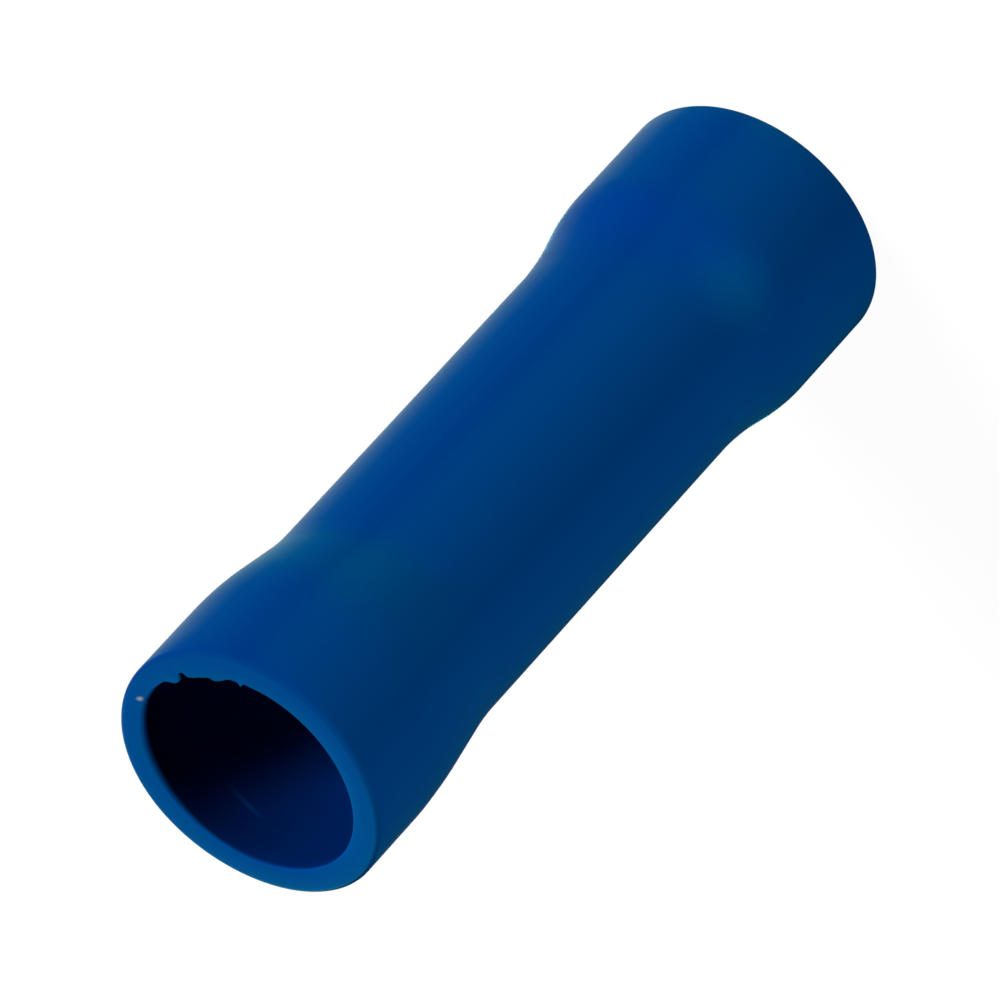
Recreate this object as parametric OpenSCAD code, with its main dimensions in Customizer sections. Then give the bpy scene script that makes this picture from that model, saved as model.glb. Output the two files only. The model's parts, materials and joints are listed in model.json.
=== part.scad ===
// Insulated butt splice connector: a metal crimp barrel inside a flared plastic sleeve.
// The axis is +Z, and the part stands on one flared end with the origin at the middle of that end.

/* [Crimp barrel] */
// Bore of the barrel, which takes the bare conductors
barrel_bore_d = 3.4; // [2.4:0.1:4.4]
// Wall of the barrel tube
barrel_wall = 0.96; // [0.6:0.02:1.4]
// Length of the barrel, shared by the two wires
barrel_l = 15; // [11:0.5:18]
// Lead-in chamfer at the bore's two mouths
barrel_lead_in = 0.35; // [0.1:0.05:0.5]
// Broken edge around the outside of the barrel's ends
barrel_edge_break = 0.1; // [0.05:0.05:0.2]
// Width along the axis of the wire stop rolled into the middle of the barrel
stop_w = 1.6; // [1:0.1:2.4]
// How far the wire stop stands into the bore
stop_depth = 0.5; // [0.2:0.05:0.8]

/* [Insulation sleeve] */
// Overall length of the sleeve, which is the connector's length
sleeve_l = 25; // [22:0.5:32]
// Wall of the sleeve
sleeve_wall = 0.79; // [0.5:0.01:1.2]
// Gap all round between the barrel and the sleeve pressed over it
sleeve_fit = 0.02; // [0.01:0.01:0.05]
// Straight length of each flared end
flare_l = 3.6; // [2.6:0.05:4.5]
// Length along the axis of the slope from the waist to a flared end
shoulder_l = 2.4; // [1.6:0.1:3.4]
// How far a flared end stands out from the waist, on the radius
flare_rise = 0.43; // [0.2:0.01:0.7]
// Radius that blends each slope into the waist and into the flared end
shoulder_blend_r = 9; // [4:0.5:16]
// Rounding of the outer edge of each mouth
lip_outer_r = 0.1; // [0.04:0.02:0.16]
// Rounding of the inner edge of each mouth
lip_inner_r = 0.08; // [0.04:0.02:0.16]

/* [Hidden] */
$fn = 96;
// Straight pieces that stand for one rounded stretch of an outline
arc_steps = 8;

barrel_bore_r = barrel_bore_d / 2;
barrel_r = barrel_bore_r + barrel_wall;
waist_bore_r = barrel_r + sleeve_fit;
waist_r = waist_bore_r + sleeve_wall;

// Heights are counted from the middle of the connector, because both ends are alike
mid_z = sleeve_l / 2;
flare_corner_z = mid_z - flare_l;
waist_corner_z = flare_corner_z - shoulder_l;
slope_angle = atan2(flare_rise, shoulder_l);
slope_l = norm([flare_rise, shoulder_l]);
// Length from a sharp shoulder corner to where its blend ends, at most half of the slope
blend_l = min(shoulder_blend_r * tan(slope_angle / 2), slope_l / 2);
blend_r = blend_l / tan(slope_angle / 2);

// Points of an arc from one angle to another
function arc(center, r, from, to) =
    [for (i = [0:arc_steps])
        let (a = from + (to - from) * i / arc_steps)
        center + r * [cos(a), sin(a)]];

function reversed(points) = [for (i = [len(points) - 1:-1:0]) points[i]];

// Both halves of an outline, from the half above the middle
function both_halves(points) = concat(points, [for (p = reversed(points)) [p.x, -p.y]]);

// One side of the sleeve wall above the middle, from the waist up to the flared end
function shoulder(waist_side_r) =
    concat(
        arc([waist_side_r + blend_r, waist_corner_z - blend_l], blend_r, 180, 180 - slope_angle),
        arc([waist_side_r + flare_rise - blend_r, flare_corner_z + blend_l], blend_r, -slope_angle, 0)
    );

// Rounded rim of a mouth, from the outer edge to the inner edge
function mouth_rim(outer_r, inner_r) =
    concat(
        arc([outer_r - lip_outer_r, mid_z - lip_outer_r], lip_outer_r, 0, 90),
        arc([inner_r + lip_inner_r, mid_z - lip_inner_r], lip_inner_r, 90, 180)
    );

// One side of the barrel wall where the wire stop is rolled in, from the middle up
function rolled_stop(side_r) =
    [for (i = [0:arc_steps])
        let (share = i / arc_steps)
        [side_r - stop_depth * (1 + cos(180 * share)) / 2, stop_w / 2 * share]];

// Chamfered end of the barrel, from the outside to the bore
function barrel_end(end_z) = [
    [barrel_r, end_z - barrel_edge_break],
    [barrel_r - barrel_edge_break, end_z],
    [barrel_bore_r + barrel_lead_in, end_z],
    [barrel_bore_r, end_z - barrel_lead_in]
];

// An outline drawn above the middle, turned into a whole ring that stands on the ground
module ring(half_outline) {
    translate([0, 0, mid_z])
        rotate_extrude()
            polygon(both_halves(half_outline));
}

module insulation_sleeve() {
    color("#004c94")
        ring(concat(
            shoulder(waist_r),
            mouth_rim(waist_r + flare_rise, waist_bore_r + flare_rise),
            reversed(shoulder(waist_bore_r))
        ));
}

module crimp_barrel() {
    color("#b9babc")
        ring(concat(
            rolled_stop(barrel_r),
            barrel_end(barrel_l / 2),
            reversed(rolled_stop(barrel_bore_r))
        ));
}

insulation_sleeve();
crimp_barrel();
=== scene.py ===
import json
import math

import bmesh
import bpy
from mathutils import Matrix, Vector


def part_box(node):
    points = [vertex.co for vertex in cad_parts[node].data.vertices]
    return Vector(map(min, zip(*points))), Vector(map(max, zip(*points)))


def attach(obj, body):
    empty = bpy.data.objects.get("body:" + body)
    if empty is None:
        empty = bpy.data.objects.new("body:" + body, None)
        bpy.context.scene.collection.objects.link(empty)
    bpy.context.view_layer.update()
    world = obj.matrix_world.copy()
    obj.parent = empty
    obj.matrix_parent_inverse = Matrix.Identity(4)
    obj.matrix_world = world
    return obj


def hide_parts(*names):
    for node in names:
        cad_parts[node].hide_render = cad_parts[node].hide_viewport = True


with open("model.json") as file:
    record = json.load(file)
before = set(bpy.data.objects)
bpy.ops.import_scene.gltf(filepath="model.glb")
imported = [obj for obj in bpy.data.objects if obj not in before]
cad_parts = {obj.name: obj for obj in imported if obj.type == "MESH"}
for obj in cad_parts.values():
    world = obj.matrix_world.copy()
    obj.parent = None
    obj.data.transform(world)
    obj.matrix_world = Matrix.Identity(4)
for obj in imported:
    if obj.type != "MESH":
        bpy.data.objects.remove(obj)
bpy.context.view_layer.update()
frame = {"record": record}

bl_info = {
    "name": "Butt Splice Connector",
    "version": (1, 0, 0),
    "blender": (4, 5, 0),
    "location": "View3D > Sidebar > Splice",
    "description": "Dresses a butt splice connector: vinyl sleeve, tinned crimp barrel and a plain stage",
    "category": "Add Mesh",
}

MM = 0.001

# Fineness of the meshes: steps round the axis and the longest straight stretch of the sleeve's wall
SLEEVE_STEPS = 480
BARREL_STEPS = 192
LONGEST_STRETCH = 0.8 * MM

# Places of the sleeve's three vinyls in its list of materials
SKIN, BORE, LIP = range(3)

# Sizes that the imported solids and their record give
SLEEVE_LOW, SLEEVE_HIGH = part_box("insulation_sleeve")
BARREL_LOW, BARREL_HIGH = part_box("crimp_barrel")
MOUNT_SIZES = {mount["name"]: mount["dims"] for mount in frame["record"]["mounts"]}
MOUTH_RADIUS = MOUNT_SIZES["insulation_mouth_top"]["r_mm"] * MM
BORE_RADIUS = MOUNT_SIZES["wire_bore_top"]["r_mm"] * MM

# Torn inner edge of the upper mouth: azimuth in degrees and reach into the bore in mm
TORN_EDGE = (
    (-62, 0),
    (-58.5, -0.01),
    (-57.2, 0.04),
    (-56.2, 0.13),
    (-55.4, 0.03),
    (-54, 0),
    (-50, -0.01),
    (-48, 0.03),
    (-46, 0.09),
    (-42, 0.14),
    (-40, 0.12),
    (-38, 0.05),
    (-28, 0.04),
    (-25.5, 0),
    (-23.5, -0.17),
    (-20.5, -0.17),
    (-19, 0.02),
    (-18, 0.05),
    (-15.5, 0.06),
    (-14, 0.03),
    (-12, -0.06),
    (-9.5, -0.14),
    (0, -0.18),
    (12, -0.19),
    (20, -0.16),
    (26, -0.13),
    (40, -0.11),
    (52, -0.06),
    (66, -0.03),
    (80, 0),
)


def linear(hex_colour):
    """Linear red, green and blue of an sRGB hex colour."""
    shares = [int(hex_colour[i:i + 2], 16) / 255 for i in (1, 3, 5)]
    return [s / 12.92 if s <= 0.04045 else ((s + 0.055) / 1.055) ** 2.4 for s in shares]


def length_prop(name, description, default):
    """A length in metres for a property group."""
    return bpy.props.FloatProperty(
        name=name,
        description=description,
        default=default,
        subtype="DISTANCE",
        unit="LENGTH",
        precision=6,
    )


def pair_prop(name, description, default):
    """Two lengths in metres for a property group."""
    return bpy.props.FloatVectorProperty(
        name=name,
        description=description,
        default=default,
        size=2,
        subtype="XYZ",
        unit="LENGTH",
        precision=6,
    )


def angle_prop(name, description, degrees):
    """An angle for a property group."""
    return bpy.props.FloatProperty(
        name=name,
        description=description,
        default=math.radians(degrees),
        subtype="ANGLE",
        unit="ROTATION",
    )


def colour_prop(name, description, hex_colour):
    """A colour for a property group."""
    return bpy.props.FloatVectorProperty(
        name=name,
        description=description,
        default=linear(hex_colour),
        subtype="COLOR",
        size=3,
        min=0,
        max=1,
    )


class SleeveSettings(bpy.types.PropertyGroup):
    """Sizes and colours of the insulation sleeve"""

    height: length_prop("Height", "Mean height of the upper end", 24.86 * MM)
    end_radius: length_prop("End radius", "Outer radius of a flared end", SLEEVE_HIGH.x)
    mouth_radius: length_prop("Mouth radius", "Inner radius of a flared end", MOUTH_RADIUS)
    flare_rise: length_prop("Flare rise", "How far an end stands out from the waist", 0.43 * MM)
    upper_flare: length_prop("Upper flare", "Straight length of the upper end", 3.38 * MM)
    upper_shoulder: length_prop("Upper shoulder", "Length of the slope below the upper end", 2.72 * MM)
    upper_blends: pair_prop(
        "Upper blends", "Rounding at the upper flare and at the waist", (0.84 * MM, 0.47 * MM)
    )
    lower_flare: length_prop("Lower flare", "Height of the lower shoulder's foot", 3.85 * MM)
    lower_shoulder: length_prop("Lower shoulder", "Length of the slope above the lower end", 1.93 * MM)
    lower_blends: pair_prop(
        "Lower blends", "Rounding at the lower flare and at the waist", (0.5 * MM, 0.85 * MM)
    )
    lip_outer: length_prop("Outer lip", "Rounding of the outer edge of a mouth", 0.15 * MM)
    lip_inner: length_prop("Inner lip", "Rounding of the inner edge of a mouth", 0.04 * MM)
    torn_depth: length_prop("Torn depth", "How far down the upper mouth its torn edge reaches", 0.6 * MM)
    upper_tilt: angle_prop("Upper tilt", "How far the upper end was cut off square", 1.24)
    upper_twist: angle_prop("Upper twist", "How far that tilt grows towards +Y", 1.85)
    lower_tilt: angle_prop("Lower tilt", "How far the lower end was cut off square", 0.67)
    flare_leans: pair_prop(
        "Flare leans",
        "How much higher the lower and the upper flare begin on the +X side",
        (0.15 * MM, -0.1 * MM),
    )
    waist_leans: pair_prop(
        "Waist leans",
        "How much higher the waist's lower and upper end lie on the +X side",
        (0.2 * MM, 0.19 * MM),
    )
    colour: colour_prop("Vinyl", "Blue of the moulded vinyl", "#00378d")
    shade: colour_prop("Vinyl shade", "Slightly deeper blue in the vinyl's flow marks", "#003388")
    # Painted light: the cut ends' paler blue stands in for the light their faces catch
    cut: colour_prop("Cut vinyl", "Paler blue of the cut ends", "#004697")
    # Painted shade: a darker blue on the cut ends' rounded outer edges
    painted_lip_shade: colour_prop("Lip", "Dulled blue of the cut ends' rounded outer edges", "#003e7e")
    # Painted highlight: a paler blue spot on the lower shoulder stands in for a soft highlight
    painted_highlight: colour_prop("Stretched vinyl", "Paler blue where the lower shoulder was stretched", "#004290")
    # A pale grey fleck on the upper cut end, near the mouth's inner edge
    fleck: colour_prop("Fleck", "Pale grey where the cut end was bruised", "#9c9fae")
    # A faint paler streak on the wall inside the upper mouth
    faint_streak: colour_prop("Scuff", "Paler blue of a scratch in the mouth", "#003c86")
    # Painted shade: the blue inside the bore is multiplied darker
    bore: colour_prop("Bore", "Darkening of the vinyl inside the bore", "#bcbcbc")
    # Painted light reaches this far down the wall below each cut end
    painted_light_depth: length_prop("Cut depth", "How far down the wall the cut ends' paler blue fades", 0.14 * MM)
    # Painted shade: where the darker blue on the outer edges begins and is full
    painted_shade_edge: pair_prop(
        "Dulled edge",
        "How far in from the outside the dulled blue begins and is full",
        (0.17 * MM, 0.07 * MM),
    )
    sheen: bpy.props.FloatProperty(
        name="Sheen", description="Strength of the skin's velvety edge light", default=0.42, min=0, max=1
    )


class BarrelSettings(bpy.types.PropertyGroup):
    """Sizes and colours of the crimp barrel"""

    low: length_prop("Lower end", "Height of the barrel's lower end", BARREL_LOW.z)
    high: length_prop("Upper end", "Height of the barrel's upper end", BARREL_HIGH.z)
    radius: length_prop("Radius", "Outer radius of the barrel", BARREL_HIGH.x)
    bore_radius: length_prop("Bore radius", "Radius of the bore that takes the wires", BORE_RADIUS)
    lead_in: length_prop("Lead-in", "Chamfer at the bore's mouths", 0.35 * MM)
    edge_break: length_prop("Edge break", "Rounding around the outside of the ends", 0.1 * MM)
    stop_width: length_prop("Stop width", "Width of the wire stop rolled into the middle", 1.6 * MM)
    stop_depth: length_prop("Stop depth", "How far the wire stop stands into the bore", 0.5 * MM)
    colour: colour_prop("Tin", "Grey of the tin plating", "#c6c5c1")


class StageSettings(bpy.types.PropertyGroup):
    """Camera and floor"""

    axis_tilt: angle_prop("Axis tilt", "Angle between the tube's axis and the line to the camera", 51.794)
    axis_roll: angle_prop("Axis roll", "Slope of the tube in the picture", 47.626)
    focal_pixels: bpy.props.FloatProperty(
        name="Focal length", description="Focal length in pixels of the picture", default=12000
    )
    pixels_per_mm: bpy.props.FloatProperty(
        name="Scale", description="Pixels to a millimetre at the middle of the tube", default=38.271
    )
    centre_pixel: bpy.props.FloatVectorProperty(
        name="Centre",
        description="Pixel where the middle of the tube lies",
        default=(506.82, 492.61),
        size=2,
    )
    centre_height: length_prop("Centre height", "Height of the tube's middle", 12.461 * MM)
    floor_size: length_prop("Floor", "Width of the floor", 2.0)


class SpliceSettings(bpy.types.PropertyGroup):
    """All the settings of the butt splice connector"""

    sleeve: bpy.props.PointerProperty(name="Sleeve", description="Insulation sleeve", type=SleeveSettings)
    barrel: bpy.props.PointerProperty(name="Barrel", description="Crimp barrel", type=BarrelSettings)
    stage: bpy.props.PointerProperty(name="Stage", description="Camera and floor", type=StageSettings)


def add_node(tree, kind, inputs=None, **settings):
    """Adds a node with its settings; an input is a value or the output that feeds it."""
    node = tree.nodes.new(kind)
    for name, value in settings.items():
        setattr(node, name, value)
    for key, value in (inputs or {}).items():
        if isinstance(value, bpy.types.NodeSocket):
            tree.links.new(value, node.inputs[key])
        else:
            node.inputs[key].default_value = value
    return node


def new_material(name):
    """An empty node material and its output node."""
    material = bpy.data.materials.new(name)
    material.use_nodes = True
    material.node_tree.nodes.clear()
    return material, add_node(material.node_tree, "ShaderNodeOutputMaterial")


def pattern_scale(feature_mm):
    """Texture scale that gives features of this size."""
    return 1 / (feature_mm * MM)


def small_mark(tree, place, centre_mm, turn, half_sizes_mm):
    """A soft spot from 1 at its middle to 0 at its edge, placed on the sleeve in mm and degrees."""
    inside = add_node(
        tree,
        "ShaderNodeMapping",
        {
            "Vector": place,
            "Location": [c * MM for c in centre_mm],
            "Rotation": [math.radians(t) for t in turn],
            "Scale": [h * MM for h in half_sizes_mm],
        },
        vector_type="TEXTURE",
    )
    away = add_node(tree, "ShaderNodeVectorMath", {0: inside.outputs["Vector"]}, operation="LENGTH")
    return add_node(
        tree,
        "ShaderNodeMapRange",
        {"Value": away.outputs["Value"], "From Min": 0.0, "From Max": 1.0, "To Min": 1.0, "To Max": 0.0},
        interpolation_type="SMOOTHSTEP",
    ).outputs["Result"]


def moulded_vinyl(settings, name, painted_shade_tone, sheen):
    """Moulded PVC: satin and deep blue, with faint flow marks, a soft skin and a pale grey fleck on the cut
    end; the cut ends carry painted light, their outer edges painted shade and the lower shoulder a painted
    highlight.

    The tone darkens the blue as painted shade, and the sheen is its velvety edge light.
    """
    material, output = new_material(name)
    tree = material.node_tree
    place = add_node(tree, "ShaderNodeTexCoord").outputs["Object"]

    # Flow marks run along the tube, because the ends were flared from a drawn tube
    along = add_node(tree, "ShaderNodeMapping", {"Vector": place, "Scale": (1, 1, 0.08)})
    flow = add_node(
        tree,
        "ShaderNodeTexNoise",
        {"Vector": along.outputs["Vector"], "Scale": pattern_scale(0.9), "Detail": 3, "Roughness": 0.55},
    )
    shade = [c * t for c, t in zip(settings.shade, painted_shade_tone)]
    colour = [c * t for c, t in zip(settings.colour, painted_shade_tone)]
    marked = add_node(
        tree, "ShaderNodeMix", {0: flow.outputs["Fac"], 6: (*shade, 1), 7: (*colour, 1)}, data_type="RGBA"
    ).outputs[2]

    # Painted light: the cut ends are a paler blue, a little way down the wall too, standing in for the
    # light their faces catch; painted shade darkens their rounded outer edges
    flat = add_node(tree, "ShaderNodeVectorMath", {0: place, 1: (1, 1, 0)}, operation="MULTIPLY")
    radius = add_node(tree, "ShaderNodeVectorMath", {0: flat.outputs["Vector"]}, operation="LENGTH")
    on_painted_shade_edge = add_node(
        tree,
        "ShaderNodeMapRange",
        {
            "Value": radius.outputs["Value"],
            "From Min": settings.end_radius - settings.painted_shade_edge[0],
            "From Max": settings.end_radius - settings.painted_shade_edge[1],
        },
    )
    # Painted light on the cut ends, blending into painted shade on their outer edges
    rim = add_node(
        tree,
        "ShaderNodeMix",
        {0: on_painted_shade_edge.outputs["Result"], 6: (*settings.cut, 1), 7: (*settings.painted_lip_shade, 1)},
        data_type="RGBA",
    )
    sides = add_node(tree, "ShaderNodeSeparateXYZ", {0: place}).outputs
    lower_end = lower_rise(settings)
    for tilt, twist, inner, outer in (
        (settings.upper_tilt, settings.upper_twist, settings.height - settings.painted_light_depth, settings.height),
        (settings.lower_tilt, 0, lower_end + settings.painted_light_depth, lower_end),
    ):
        slope = add_node(
            tree,
            "ShaderNodeMath",
            {0: sides["Y"], 1: math.tan(twist) / settings.end_radius, 2: math.tan(tilt)},
            operation="MULTIPLY_ADD",
        )
        rise = add_node(tree, "ShaderNodeMath", {0: sides["X"], 1: slope.outputs[0]}, operation="MULTIPLY")
        level = add_node(tree, "ShaderNodeMath", {0: sides["Z"], 1: rise.outputs[0]}, operation="SUBTRACT")
        on_cut = add_node(
            tree,
            "ShaderNodeMapRange",
            {"Value": level.outputs[0], "From Min": inner, "From Max": outer},
        )
        marked = add_node(
            tree,
            "ShaderNodeMix",
            {0: on_cut.outputs["Result"], 6: marked, 7: rim.outputs[2]},
            data_type="RGBA",
        ).outputs[2]

    # Small marks: a painted highlight on the lower shoulder, a pale grey fleck on the upper cut end and a
    # faint paler streak in the mouth
    for mark_colour, centre, turn, half_sizes in (
        (settings.painted_highlight, (-0.75, -3.5, 5.0), (0, 0, 0), (1.8, 1.8, 1.6)),
        (settings.fleck, (3.375, 0.635, 24.95), (0, 0, 67), (0.185, 0.1, 0.34)),
        (settings.faint_streak, (-0.41, 3.07, 23.33), (0, 9, 8), (0.95, 0.25, 0.13)),
    ):
        mark = small_mark(tree, place, centre, turn, half_sizes)
        marked = add_node(
            tree, "ShaderNodeMix", {0: mark, 6: marked, 7: (*mark_colour, 1)}, data_type="RGBA"
        ).outputs[2]

    # The skin is finer than a pixel on a real sleeve, so it is drawn coarser here to show at all
    skin = add_node(
        tree,
        "ShaderNodeTexNoise",
        {"Vector": place, "Scale": pattern_scale(0.22), "Detail": 2, "Roughness": 0.5},
    )
    rough = add_node(
        tree, "ShaderNodeMapRange", {"Value": skin.outputs["Fac"], "To Min": 0.2, "To Max": 0.28}
    )
    relief = add_node(
        tree,
        "ShaderNodeBump",
        {"Height": skin.outputs["Fac"], "Strength": 0.05, "Distance": 0.02 * MM},
    )
    # Hardly any gloss is left: only the most slanting edge mirrors the floor
    shader = add_node(
        tree,
        "ShaderNodeBsdfPrincipled",
        {
            "Base Color": marked,
            "Roughness": rough.outputs["Result"],
            "Normal": relief.outputs["Normal"],
            "IOR": 1.53,
            "Specular IOR Level": 0.005,
            "Sheen Weight": sheen,
            "Sheen Roughness": 0.42,
            "Sheen Tint": (0.0, 1.0, 0.9, 1.0),
        },
    )
    tree.links.new(shader.outputs["BSDF"], output.inputs["Surface"])
    return material


def tinned_copper(settings):
    """Tin electroplated over copper: soft grey metal with a dull, slightly clouded shine."""
    material, output = new_material("tinned_copper")
    tree = material.node_tree
    place = add_node(tree, "ShaderNodeTexCoord").outputs["Object"]
    cloud = add_node(
        tree,
        "ShaderNodeTexNoise",
        {"Vector": place, "Scale": pattern_scale(1.2), "Detail": 4, "Roughness": 0.6},
    )
    rough = add_node(
        tree, "ShaderNodeMapRange", {"Value": cloud.outputs["Fac"], "To Min": 0.28, "To Max": 0.5}
    )
    rings = add_node(tree, "ShaderNodeMapping", {"Vector": place, "Scale": (0.05, 0.05, 1)})
    drawn = add_node(
        tree,
        "ShaderNodeTexNoise",
        {"Vector": rings.outputs["Vector"], "Scale": pattern_scale(0.12), "Detail": 2},
    )
    relief = add_node(
        tree, "ShaderNodeBump", {"Height": drawn.outputs["Fac"], "Strength": 0.15, "Distance": 0.01 * MM}
    )
    shader = add_node(
        tree,
        "ShaderNodeBsdfPrincipled",
        {
            "Base Color": (*settings.colour, 1),
            "Metallic": 1.0,
            "Roughness": rough.outputs["Result"],
            "Normal": relief.outputs["Normal"],
        },
    )
    tree.links.new(shader.outputs["BSDF"], output.inputs["Surface"])
    return material


def wire_outline(bm, corners):
    """A closed wire through (radius, height) corners, as vertices in the XZ plane."""
    verts = [bm.verts.new((radius, 0, height)) for radius, height in corners]
    for vert, following in zip(verts, verts[1:] + verts[:1]):
        bm.edges.new((vert, following))
    return verts


def round_corners(bm, verts, length, segments):
    """Rounds corners of a wire, starting this far from each corner."""
    bmesh.ops.bevel(
        bm,
        geom=verts,
        offset=length,
        offset_type="OFFSET",
        segments=segments,
        profile=0.5,
        affect="VERTICES",
        material=-1,
    )


def split_long_edges(bm, longest):
    """Splits the wire's long straight stretches."""
    for edge in bm.edges[:]:
        cuts = int(edge.calc_length() / longest)
        if cuts:
            bmesh.ops.subdivide_edges(bm, edges=[edge], cuts=cuts)


def spin_round(bm, steps):
    """Spins a wire once round the tube's axis into a closed shell."""
    bmesh.ops.spin(
        bm,
        geom=bm.verts[:] + bm.edges[:],
        cent=(0, 0, 0),
        axis=(0, 0, 1),
        dvec=(0, 0, 0),
        angle=math.tau,
        steps=steps,
        use_merge=True,
    )
    bmesh.ops.recalc_face_normals(bm, faces=bm.faces[:])


def dress_node(bm, name, node, materials):
    """Turns a bmesh into the piece that stands for a CAD node."""
    for face in bm.faces:
        face.smooth = True
    mesh = bpy.data.meshes.new(name)
    bm.to_mesh(mesh)
    bm.free()
    for material in materials:
        mesh.materials.append(material)
    piece = bpy.data.objects.new(name, mesh)
    bpy.context.scene.collection.objects.link(piece)
    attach(piece, "root")
    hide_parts(node)
    return piece


def lower_rise(sleeve):
    """Mean height of the lower end, whose lowest point stands on the floor."""
    return math.tan(sleeve.lower_tilt) * sleeve.end_radius


def between(table, place):
    """Value at a place along a table of places and values, level beyond its ends."""
    for (low, low_value), (high, high_value) in zip(table, table[1:]):
        if place < high:
            share = max(0, (place - low) / (high - low))
            return low_value + (high_value - low_value) * share
    return table[-1][1]


def sleeve_wall(bm, sleeve):
    """Section of the sleeve's wall with its shoulders and lips rounded."""
    bottom = lower_rise(sleeve)
    top = sleeve.height
    corners = []
    for end_radius in (sleeve.end_radius, sleeve.mouth_radius):
        waist_radius = end_radius - sleeve.flare_rise
        side = [
            (end_radius, bottom),
            (end_radius, sleeve.lower_flare),
            (waist_radius, sleeve.lower_flare + sleeve.lower_shoulder),
            (waist_radius, top - sleeve.upper_flare - sleeve.upper_shoulder),
            (end_radius, top - sleeve.upper_flare),
            (end_radius, top),
        ]
        corners += reversed(side) if corners else side
    verts = wire_outline(bm, corners)
    round_corners(bm, [verts[i] for i in (1, 10)], sleeve.lower_blends[0], 8)
    round_corners(bm, [verts[i] for i in (2, 9)], sleeve.lower_blends[1], 8)
    round_corners(bm, [verts[i] for i in (3, 8)], sleeve.upper_blends[1], 8)
    round_corners(bm, [verts[i] for i in (4, 7)], sleeve.upper_blends[0], 8)
    round_corners(bm, [verts[i] for i in (0, 5)], sleeve.lip_outer, 4)
    round_corners(bm, [verts[i] for i in (6, 11)], sleeve.lip_inner, 4)


def tear_mouth(bm, sleeve):
    """Tears the upper mouth's inner edge, most at its rim."""
    torn_start = sleeve.height - sleeve.torn_depth
    middle_wall = (sleeve.end_radius + sleeve.mouth_radius) / 2
    for vert in bm.verts:
        radius = vert.co.xy.length
        if vert.co.z > torn_start and radius < middle_wall:
            share = (vert.co.z - torn_start) / sleeve.torn_depth
            azimuth = math.degrees(math.atan2(vert.co.y, vert.co.x))
            vert.co.xy *= 1 - between(TORN_EDGE, azimuth) * MM * share / radius


def lean_levels(bm, sleeve):
    """Leans the cut ends and the shoulders and twists the upper end: the tube wasn't made quite square."""
    upper_flare = sleeve.height - sleeve.upper_flare
    lower_end = lower_rise(sleeve)
    # The lower end stands on its lowest point, so it leans by as much as its mean height
    leans = (
        (lower_end, lower_end),
        (sleeve.lower_flare, sleeve.flare_leans[0]),
        (sleeve.lower_flare + sleeve.lower_shoulder, sleeve.waist_leans[0]),
        (upper_flare - sleeve.upper_shoulder, sleeve.waist_leans[1]),
        (upper_flare, sleeve.flare_leans[1]),
        (sleeve.height, math.tan(sleeve.upper_tilt) * sleeve.end_radius),
    )
    twists = (
        (upper_flare, 0),
        (sleeve.height, math.tan(sleeve.upper_twist) * sleeve.end_radius),
    )
    for vert in bm.verts:
        across = vert.co.x / sleeve.end_radius
        beside = vert.co.y / sleeve.end_radius
        vert.co.z += across * (between(leans, vert.co.z) + beside * between(twists, vert.co.z))


def choose_vinyl(bm):
    """Gives the bore its painted-shade vinyl and the rounded outer lips a vinyl without sheen, and leaves
    all else to the skin.
    """
    inward = -0.5
    steeper_than_shoulders = 0.3
    nearly_level = 0.97
    for face in bm.faces:
        outward = face.calc_center_median().xy.normalized()
        if face.normal.xy.dot(outward) < inward:
            face.material_index = BORE
        elif steeper_than_shoulders < abs(face.normal.z) < nearly_level:
            face.material_index = LIP
        else:
            face.material_index = SKIN


class SPLICE_OT_sleeve(bpy.types.Operator):
    """Builds the flared vinyl sleeve"""

    bl_idname = "splice.sleeve"
    bl_label = "Insulation Sleeve"

    def execute(self, context):
        sleeve = context.scene.splice.sleeve
        ends = sleeve.upper_flare + sleeve.upper_shoulder + sleeve.lower_flare + sleeve.lower_shoulder
        if ends >= sleeve.height:
            raise ValueError("The sleeve is too short for its flared ends")
        bm = bmesh.new()
        sleeve_wall(bm, sleeve)
        split_long_edges(bm, LONGEST_STRETCH)
        spin_round(bm, SLEEVE_STEPS)
        choose_vinyl(bm)
        # Painted shade darkens the bore to a deeper blue than the outside, and neither it nor the lips have
        # a velvety edge light
        vinyls = [
            moulded_vinyl(sleeve, "moulded_vinyl", (1, 1, 1), sleeve.sheen),
            moulded_vinyl(sleeve, "moulded_vinyl_bore_painted_shade", sleeve.bore, 0.0),
            moulded_vinyl(sleeve, "moulded_vinyl_lip", (1, 1, 1), 0.0),
        ]
        tear_mouth(bm, sleeve)
        lean_levels(bm, sleeve)
        dress_node(bm, "vinyl_sleeve", "insulation_sleeve", vinyls)
        return {"FINISHED"}


class SPLICE_OT_barrel(bpy.types.Operator):
    """Builds the tinned barrel inside the sleeve"""

    bl_idname = "splice.barrel"
    bl_label = "Crimp Barrel"

    def execute(self, context):
        barrel = context.scene.splice.barrel
        middle = (barrel.low + barrel.high) / 2
        half_stop = barrel.stop_width / 2
        # The stop's roundings stay just short of meeting one another
        stop_rounding = half_stop * 0.49
        corners = []
        for radius in (barrel.radius, barrel.bore_radius):
            side = [
                (radius, barrel.low),
                (radius, middle - half_stop),
                (radius - barrel.stop_depth, middle),
                (radius, middle + half_stop),
                (radius, barrel.high),
            ]
            corners += reversed(side) if corners else side
        bm = bmesh.new()
        verts = wire_outline(bm, corners)
        round_corners(bm, [verts[i] for i in (1, 2, 3, 6, 7, 8)], stop_rounding, 6)
        round_corners(bm, [verts[i] for i in (0, 4)], barrel.edge_break, 3)
        round_corners(bm, [verts[i] for i in (5, 9)], barrel.lead_in, 3)
        spin_round(bm, BARREL_STEPS)
        dress_node(bm, "tinned_barrel", "crimp_barrel", [tinned_copper(barrel)])
        return {"FINISHED"}


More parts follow.
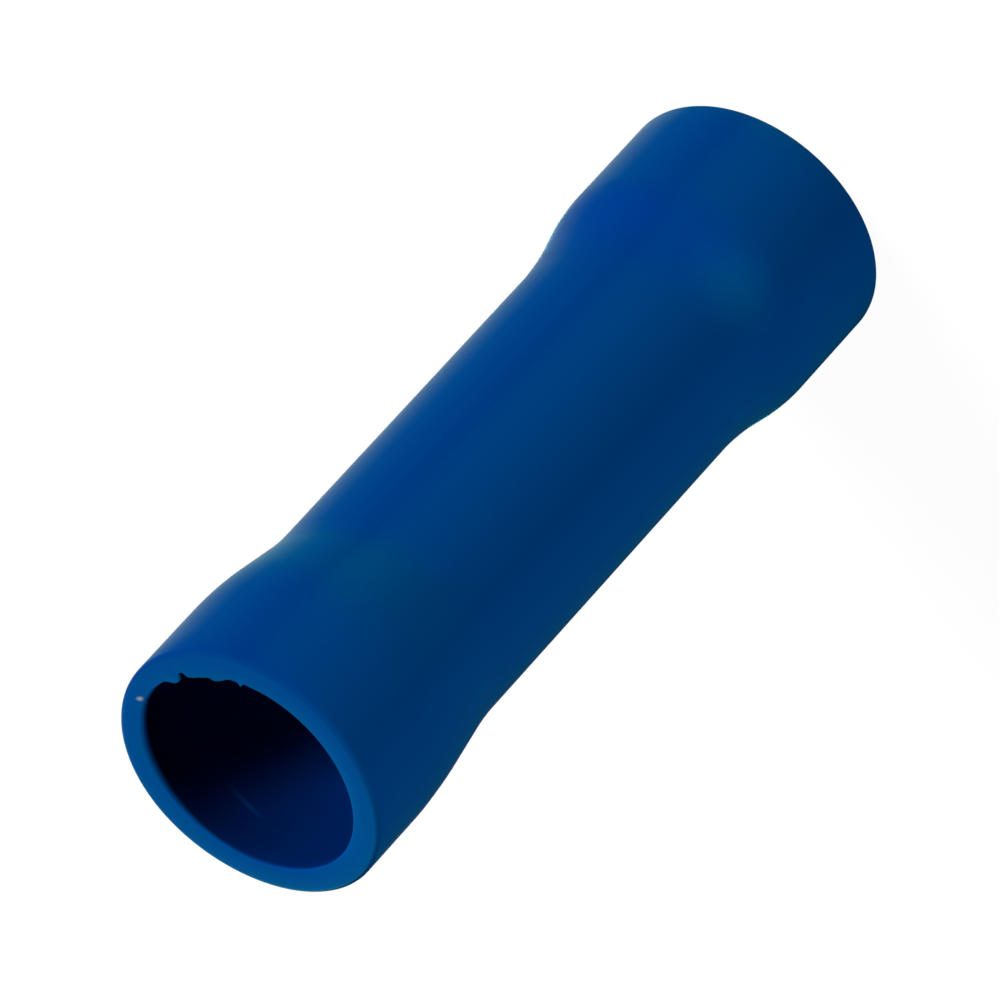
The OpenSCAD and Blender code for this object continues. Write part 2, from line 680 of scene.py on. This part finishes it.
def seen_white(tree, mirrored=1.0):
    """A strength that is 1 to the camera and through glass, a share to reflections and 0 to other light."""
    path = add_node(tree, "ShaderNodeLightPath").outputs
    mirror = add_node(
        tree, "ShaderNodeMath", {0: path["Is Glossy Ray"], 1: mirrored}, operation="MULTIPLY"
    )
    shiny = add_node(
        tree,
        "ShaderNodeMath",
        {0: mirror.outputs[0], 1: path["Is Transmission Ray"]},
        operation="MAXIMUM",
    )
    return add_node(
        tree, "ShaderNodeMath", {0: path["Is Camera Ray"], 1: shiny.outputs[0]}, operation="MAXIMUM"
    ).outputs[0]


def studio_floor(size):
    """White card: a plain floor that keeps a soft shadow."""
    bm = bmesh.new()
    bmesh.ops.create_grid(bm, x_segments=1, y_segments=1, size=size / 2)
    mesh = bpy.data.meshes.new("floor")
    bm.to_mesh(mesh)
    bm.free()
    material, output = new_material("white_card")
    tree = material.node_tree
    card = add_node(tree, "ShaderNodeBsdfDiffuse", {"Color": (0.05, 0.05, 0.05, 1)})
    # Reflections find the floor pale only behind the left side, as only the left edge mirrors it
    left_side = (3.4 * MM, -1.9 * MM, 0)
    backward = math.radians(75)
    dark_beyond = math.radians(42)
    pale_within = math.radians(28)
    place = add_node(tree, "ShaderNodeTexCoord").outputs["Object"]
    from_left = add_node(
        tree,
        "ShaderNodeMapping",
        {"Vector": place, "Location": left_side, "Rotation": (0, 0, backward)},
        vector_type="TEXTURE",
    )
    towards = add_node(
        tree, "ShaderNodeVectorMath", {0: from_left.outputs["Vector"]}, operation="NORMALIZE"
    )
    sides = add_node(tree, "ShaderNodeSeparateXYZ", {0: towards.outputs["Vector"]})
    mirrored = add_node(
        tree,
        "ShaderNodeMapRange",
        {
            "Value": sides.outputs["X"],
            "From Min": math.cos(dark_beyond),
            "From Max": math.cos(pale_within),
        },
    )
    seen = seen_white(tree, mirrored.outputs["Result"])
    glow = add_node(tree, "ShaderNodeEmission", {"Color": (0.97, 0.97, 0.97, 1), "Strength": seen})
    both = add_node(tree, "ShaderNodeAddShader", {0: card.outputs[0], 1: glow.outputs[0]})
    tree.links.new(both.outputs[0], output.inputs["Surface"])
    mesh.materials.append(material)
    floor = bpy.data.objects.new("floor", mesh)
    bpy.context.scene.collection.objects.link(floor)


def soft_light(name, azimuth, elevation, strength, spread, colour):
    """A far, soft lamp. Azimuth is counted from +X towards +Y; angles are in degrees."""
    lamp = bpy.data.lights.new(name, "SUN")
    lamp.energy = strength
    lamp.angle = math.radians(spread)
    lamp.color = colour
    holder = bpy.data.objects.new(name, lamp)
    turn = math.radians(azimuth)
    rise = math.radians(elevation)
    towards = Vector((math.cos(turn) * math.cos(rise), math.sin(turn) * math.cos(rise), math.sin(rise)))
    holder.rotation_mode = "QUATERNION"
    holder.rotation_quaternion = towards.to_track_quat("Z", "Y")
    holder.visible_glossy = False
    bpy.context.scene.collection.objects.link(holder)


def photo_camera(stage):
    """A long lens that sees the tube at the picture's angle, size and place."""
    picture_side = 1000
    sensor_mm = 36
    back = Vector((0, -math.sin(stage.axis_tilt), math.cos(stage.axis_tilt)))
    along = Vector((0, math.cos(stage.axis_tilt), math.sin(stage.axis_tilt)))
    across = Vector((1, 0, 0))
    right = -math.sin(stage.axis_roll) * across - math.cos(stage.axis_roll) * along
    up = math.cos(stage.axis_roll) * across - math.sin(stage.axis_roll) * along
    pixel = MM / stage.pixels_per_mm
    shift_right = (stage.centre_pixel[0] - picture_side / 2) * pixel
    shift_up = (picture_side / 2 - stage.centre_pixel[1]) * pixel
    place = (
        Vector((0, 0, stage.centre_height))
        + back * stage.focal_pixels * pixel
        - right * shift_right
        - up * shift_up
    )
    lens = bpy.data.cameras.new("camera")
    lens.sensor_width = sensor_mm
    lens.lens = sensor_mm * stage.focal_pixels / picture_side
    lens.clip_start = 0.01
    camera = bpy.data.objects.new("camera", lens)
    camera.matrix_world = Matrix.Translation(place) @ Matrix((right, up, back)).transposed().to_4x4()
    bpy.context.scene.collection.objects.link(camera)
    bpy.context.scene.camera = camera


class SPLICE_OT_stage(bpy.types.Operator):
    """Sets up the floor, the lamps, the white surround and the camera"""

    bl_idname = "splice.stage"
    bl_label = "Stage"

    def execute(self, context):
        stage = context.scene.splice.stage
        studio_floor(stage.floor_size)
        soft_light("left_softbox", -24, 2.5, 1.0, 6, (1, 1, 1))
        soft_light("right_softbox", 213, 0.5, 2.8, 1.5, (1, 1, 0.66))
        soft_light("high_softbox", -14, 47, 3.3, 22, (1, 1, 0.97))
        soft_light("back_softbox", 87, 3, 2.2, 8, (1, 1, 1))
        photo_camera(stage)
        world = bpy.data.worlds.new("surround")
        world.use_nodes = True
        tree = world.node_tree
        tree.nodes.clear()
        sky = add_node(tree, "ShaderNodeBackground", {"Color": (1, 1, 1, 1), "Strength": seen_white(tree)})
        add_node(tree, "ShaderNodeOutputWorld", {"Surface": sky.outputs[0]})
        context.scene.world = world
        context.scene.view_settings.view_transform = "Standard"
        return {"FINISHED"}


class SPLICE_PT_panel(bpy.types.Panel):
    """Sidebar panel with the connector's settings and pieces"""

    bl_idname = "SPLICE_PT_panel"
    bl_label = "Butt Splice Connector"
    bl_space_type = "VIEW_3D"
    bl_region_type = "UI"
    bl_category = "Splice"

    def draw(self, context):
        settings = context.scene.splice
        for group, operator in (
            (settings.sleeve, SPLICE_OT_sleeve),
            (settings.barrel, SPLICE_OT_barrel),
            (settings.stage, SPLICE_OT_stage),
        ):
            box = self.layout.box()
            for name in group.__annotations__:
                box.prop(group, name)
            box.operator(operator.bl_idname)


CLASSES = (
    SleeveSettings,
    BarrelSettings,
    StageSettings,
    SpliceSettings,
    SPLICE_OT_sleeve,
    SPLICE_OT_barrel,
    SPLICE_OT_stage,
    SPLICE_PT_panel,
)


def register():
    for cls in CLASSES:
        bpy.utils.register_class(cls)
    bpy.types.Scene.splice = bpy.props.PointerProperty(type=SpliceSettings)


def unregister():
    del bpy.types.Scene.splice
    for cls in reversed(CLASSES):
        bpy.utils.unregister_class(cls)


def main():
    register()
    bpy.ops.splice.sleeve()
    bpy.ops.splice.barrel()
    bpy.ops.splice.stage()


if __name__ == "__main__":
    main()
